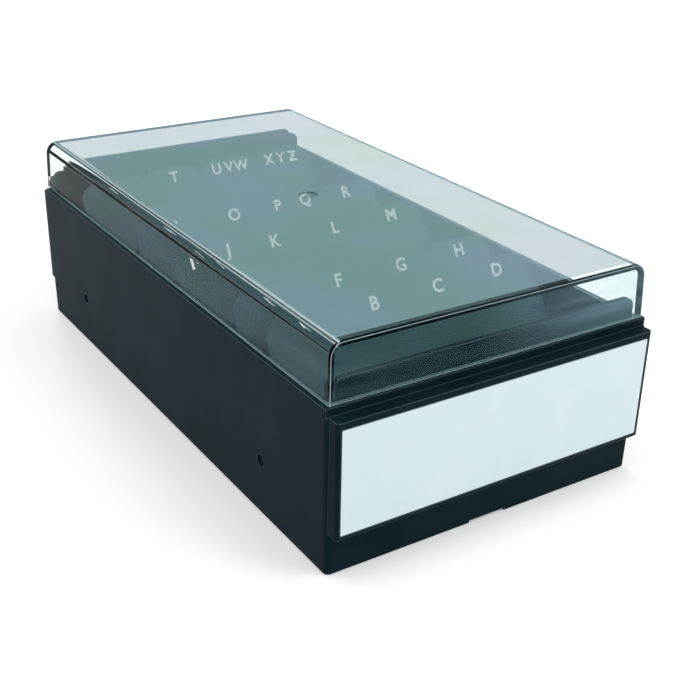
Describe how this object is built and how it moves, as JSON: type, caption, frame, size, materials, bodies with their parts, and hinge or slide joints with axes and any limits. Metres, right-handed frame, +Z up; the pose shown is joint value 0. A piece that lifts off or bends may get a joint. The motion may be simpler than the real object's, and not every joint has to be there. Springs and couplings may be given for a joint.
{
  "type": "business card box",
  "caption": "Desk box for business cards: dark moulded body with a front label and raised end panels, clear lid hinged at the back, and A to Z index leaves that lean back in groups.",
  "frame": {"origin": "centre of the underside, on the surface the box stands on", "axes": "+Z up, -Y towards the label, +X to the right as seen from the front"},
  "size_m": [0.118, 0.2238, 0.0725],
  "materials": {
    "body_plastic": "fine moulded texture, near-black blue-grey",
    "lid_plastic": "clear smoke-green, polished",
    "label_card": "matt white card",
    "leaf_plastic": "satin sheet, dark blue-green"
  },
  "bodies": {
    "case": {"body": "body_plastic", "label": "label_card"},
    "lid": {"lid": "lid_plastic"},
    "leaf_a": {"index_leaf_a": "leaf_plastic"},
    "leaf_b": {"index_leaf_b": "leaf_plastic"},
    "leaf_c": {"index_leaf_c": "leaf_plastic"},
    "leaf_d": {"index_leaf_d": "leaf_plastic"},
    "leaf_e": {"index_leaf_e": "leaf_plastic"},
    "leaf_f": {"index_leaf_f": "leaf_plastic"},
    "leaf_g": {"index_leaf_g": "leaf_plastic"},
    "leaf_h": {"index_leaf_h": "leaf_plastic"},
    "leaf_ij": {"index_leaf_ij": "leaf_plastic"},
    "leaf_k": {"index_leaf_k": "leaf_plastic"},
    "leaf_l": {"index_leaf_l": "leaf_plastic"},
    "leaf_m": {"index_leaf_m": "leaf_plastic"},
    "leaf_n": {"index_leaf_n": "leaf_plastic"},
    "leaf_o": {"index_leaf_o": "leaf_plastic"},
    "leaf_pq": {"index_leaf_pq": "leaf_plastic"},
    "leaf_r": {"index_leaf_r": "leaf_plastic"},
    "leaf_s": {"index_leaf_s": "leaf_plastic"},
    "leaf_t": {"index_leaf_t": "leaf_plastic"},
    "leaf_uvw": {"index_leaf_uvw": "leaf_plastic"},
    "leaf_xyz": {"index_leaf_xyz": "leaf_plastic"}
  },
  "joints": [
    {"name": "lid_hinge", "type": "hinge", "parent": "case", "child": "lid", "pos_m": [0, 0.10545, 0.05575], "axis": [-1, 0, 0], "range_deg": [0, 110]},
    {"name": "leaf_a_tilt", "type": "hinge", "parent": "case", "child": "leaf_a", "pos_m": [0, -0.0939, 0.0035], "axis": [1, 0, 0], "range_deg": [0, 31]},
    {"name": "leaf_b_tilt", "type": "hinge", "parent": "case", "child": "leaf_b", "pos_m": [0, -0.0926, 0.0035], "axis": [1, 0, 0], "range_deg": [0, 31]},
    {"name": "leaf_c_tilt", "type": "hinge", "parent": "case", "child": "leaf_c", "pos_m": [0, -0.0913, 0.0035], "axis": [1, 0, 0], "range_deg": [0, 31]},
    {"name": "leaf_d_tilt", "type": "hinge", "parent": "case", "child": "leaf_d", "pos_m": [0, -0.09, 0.0035], "axis": [1, 0, 0], "range_deg": [0, 31]},
    {"name": "leaf_e_tilt", "type": "hinge", "parent": "case", "child": "leaf_e", "pos_m": [0, -0.0731, 0.0035], "axis": [1, 0, 0], "range_deg": [0, 13]},
    {"name": "leaf_f_tilt", "type": "hinge", "parent": "case", "child": "leaf_f", "pos_m": [0, -0.0718, 0.0035], "axis": [1, 0, 0], "range_deg": [0, 13]},
    {"name": "leaf_g_tilt", "type": "hinge", "parent": "case", "child": "leaf_g", "pos_m": [0, -0.0705, 0.0035], "axis": [1, 0, 0], "range_deg": [0, 13]},
    {"name": "leaf_h_tilt", "type": "hinge", "parent": "case", "child": "leaf_h", "pos_m": [0, -0.0692, 0.0035], "axis": [1, 0, 0], "range_deg": [0, 13]},
    {"name": "leaf_ij_tilt", "type": "hinge", "parent": "case", "child": "leaf_ij", "pos_m": [0, -0.0315, 0.0035], "axis": [1, 0, 0], "range_deg": [0, 31]},
    {"name": "leaf_k_tilt", "type": "hinge", "parent": "case", "child": "leaf_k", "pos_m": [0, -0.0302, 0.0035], "axis": [1, 0, 0], "range_deg": [0, 31]},
    {"name": "leaf_l_tilt", "type": "hinge", "parent": "case", "child": "leaf_l", "pos_m": [0, -0.0289, 0.0035], "axis": [1, 0, 0], "range_deg": [0, 31]},
    {"name": "leaf_m_tilt", "type": "hinge", "parent": "case", "child": "leaf_m", "pos_m": [0, -0.0276, 0.0035], "axis": [1, 0, 0], "range_deg": [0, 31]},
    {"name": "leaf_n_tilt", "type": "hinge", "parent": "case", "child": "leaf_n", "pos_m": [0, -0.0003, 0.0035], "axis": [1, 0, 0], "range_deg": [0, 23]},
    {"name": "leaf_o_tilt", "type": "hinge", "parent": "case", "child": "leaf_o", "pos_m": [0, 0.001, 0.0035], "axis": [1, 0, 0], "range_deg": [0, 23]},
    {"name": "leaf_pq_tilt", "type": "hinge", "parent": "case", "child": "leaf_pq", "pos_m": [0, 0.0023, 0.0035], "axis": [1, 0, 0], "range_deg": [0, 23]},
    {"name": "leaf_r_tilt", "type": "hinge", "parent": "case", "child": "leaf_r", "pos_m": [0, 0.0036, 0.0035], "axis": [1, 0, 0], "range_deg": [0, 23]},
    {"name": "leaf_s_tilt", "type": "hinge", "parent": "case", "child": "leaf_s", "pos_m": [0, 0.0517, 0.0035], "axis": [1, 0, 0], "range_deg": [0, 31]},
    {"name": "leaf_t_tilt", "type": "hinge", "parent": "case", "child": "leaf_t", "pos_m": [0, 0.053, 0.0035], "axis": [1, 0, 0], "range_deg": [0, 31]},
    {"name": "leaf_uvw_tilt", "type": "hinge", "parent": "case", "child": "leaf_uvw", "pos_m": [0, 0.0543, 0.0035], "axis": [1, 0, 0], "range_deg": [0, 31]},
    {"name": "leaf_xyz_tilt", "type": "hinge", "parent": "case", "child": "leaf_xyz", "pos_m": [0, 0.0556, 0.0035], "axis": [1, 0, 0], "range_deg": [0, 31]}
  ],
  "couplings": [
    {"joint": "leaf_b_tilt", "follows": "leaf_a_tilt", "ratio": 1},
    {"joint": "leaf_c_tilt", "follows": "leaf_a_tilt", "ratio": 1},
    {"joint": "leaf_d_tilt", "follows": "leaf_a_tilt", "ratio": 1},
    {"joint": "leaf_f_tilt", "follows": "leaf_e_tilt", "ratio": 1},
    {"joint": "leaf_g_tilt", "follows": "leaf_e_tilt", "ratio": 1},
    {"joint": "leaf_h_tilt", "follows": "leaf_e_tilt", "ratio": 1},
    {"joint": "leaf_k_tilt", "follows": "leaf_ij_tilt", "ratio": 1},
    {"joint": "leaf_l_tilt", "follows": "leaf_ij_tilt", "ratio": 1},
    {"joint": "leaf_m_tilt", "follows": "leaf_ij_tilt", "ratio": 1},
    {"joint": "leaf_o_tilt", "follows": "leaf_n_tilt", "ratio": 1},
    {"joint": "leaf_pq_tilt", "follows": "leaf_n_tilt", "ratio": 1},
    {"joint": "leaf_r_tilt", "follows": "leaf_n_tilt", "ratio": 1},
    {"joint": "leaf_t_tilt", "follows": "leaf_s_tilt", "ratio": 1},
    {"joint": "leaf_uvw_tilt", "follows": "leaf_s_tilt", "ratio": 1},
    {"joint": "leaf_xyz_tilt", "follows": "leaf_s_tilt", "ratio": 1}
  ]
}
